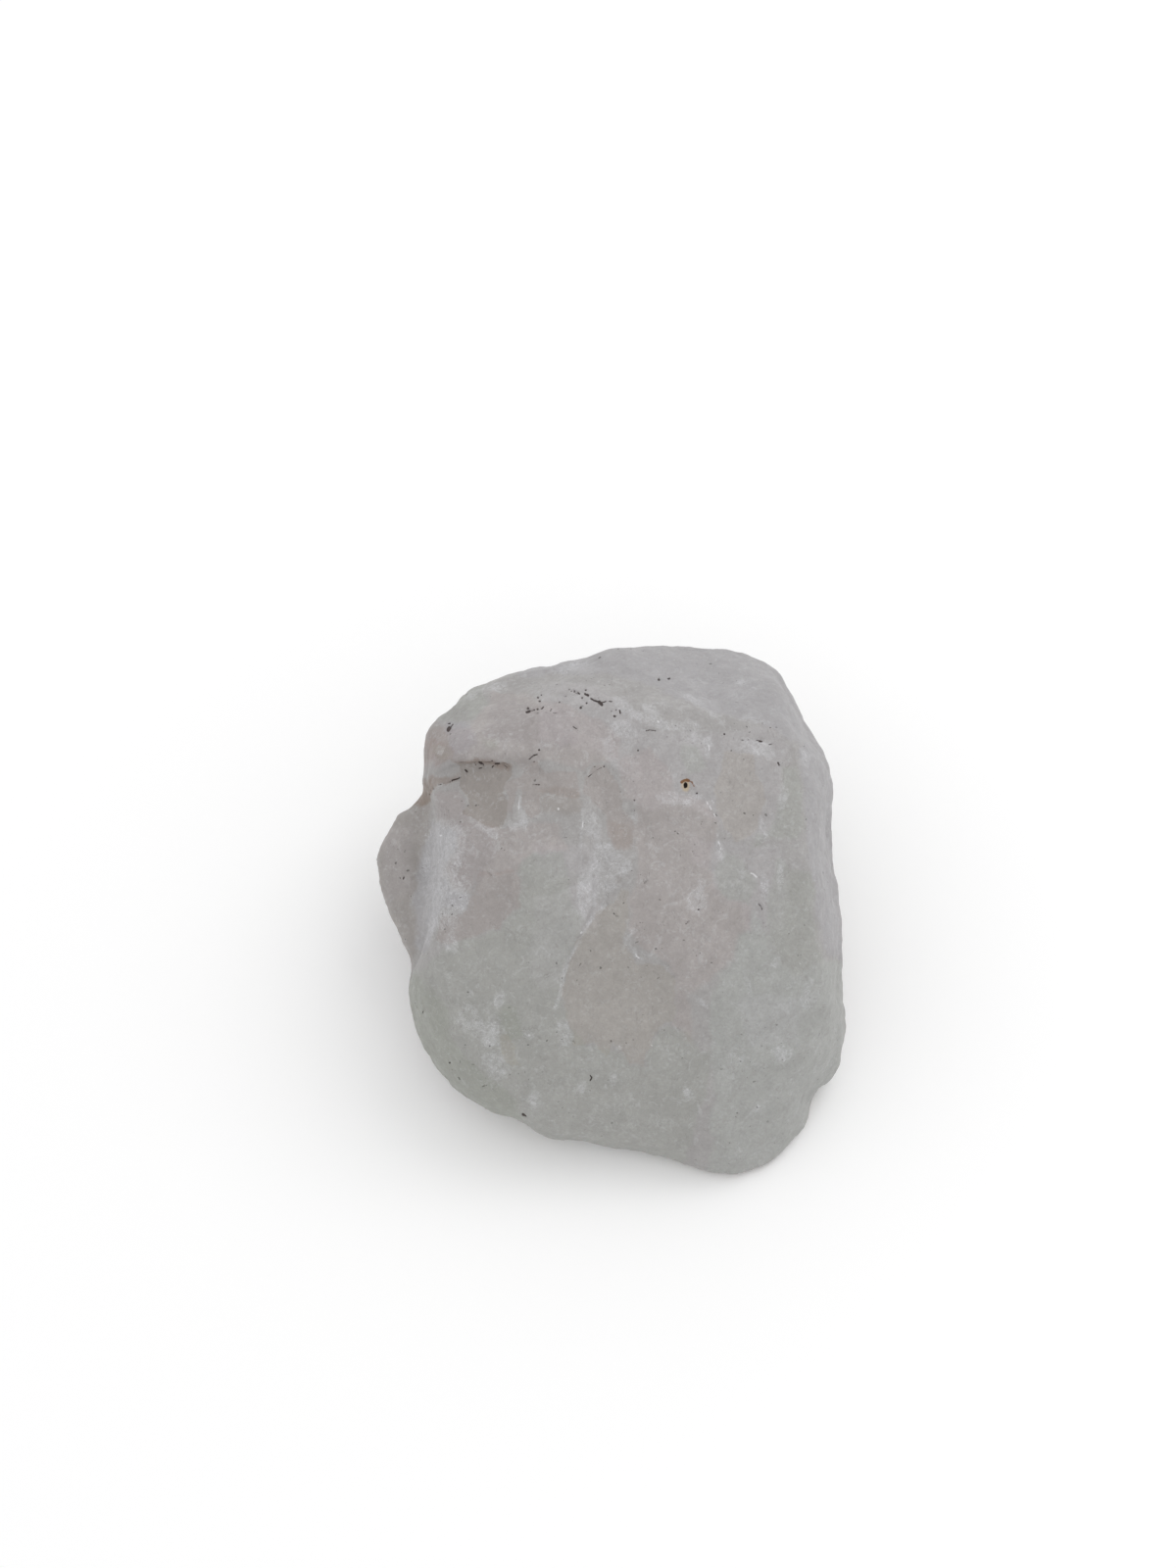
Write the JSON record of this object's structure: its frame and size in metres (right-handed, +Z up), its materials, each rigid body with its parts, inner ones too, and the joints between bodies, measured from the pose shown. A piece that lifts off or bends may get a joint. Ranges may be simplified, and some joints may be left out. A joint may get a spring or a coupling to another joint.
{
  "type": "raw quartz crystal",
  "caption": "Rough, worn lump of milky quartz with broken faces, a ledge and a side lobe, resting on a flat broken face.",
  "frame": {"origin": "on the flat foot, under the middle of the stone's box", "axes": "+Z up from the foot, -Y towards the broad face that the picture shows, +X to the right of that face"},
  "size_m": [0.0492, 0.0522, 0.0305],
  "materials": {
    "milky_quartz": "milky, slightly translucent quartz with a waxy worn surface"
  },
  "bodies": {
    "root": {"quartz_crystal": "milky_quartz"}
  },
  "joints": []
}
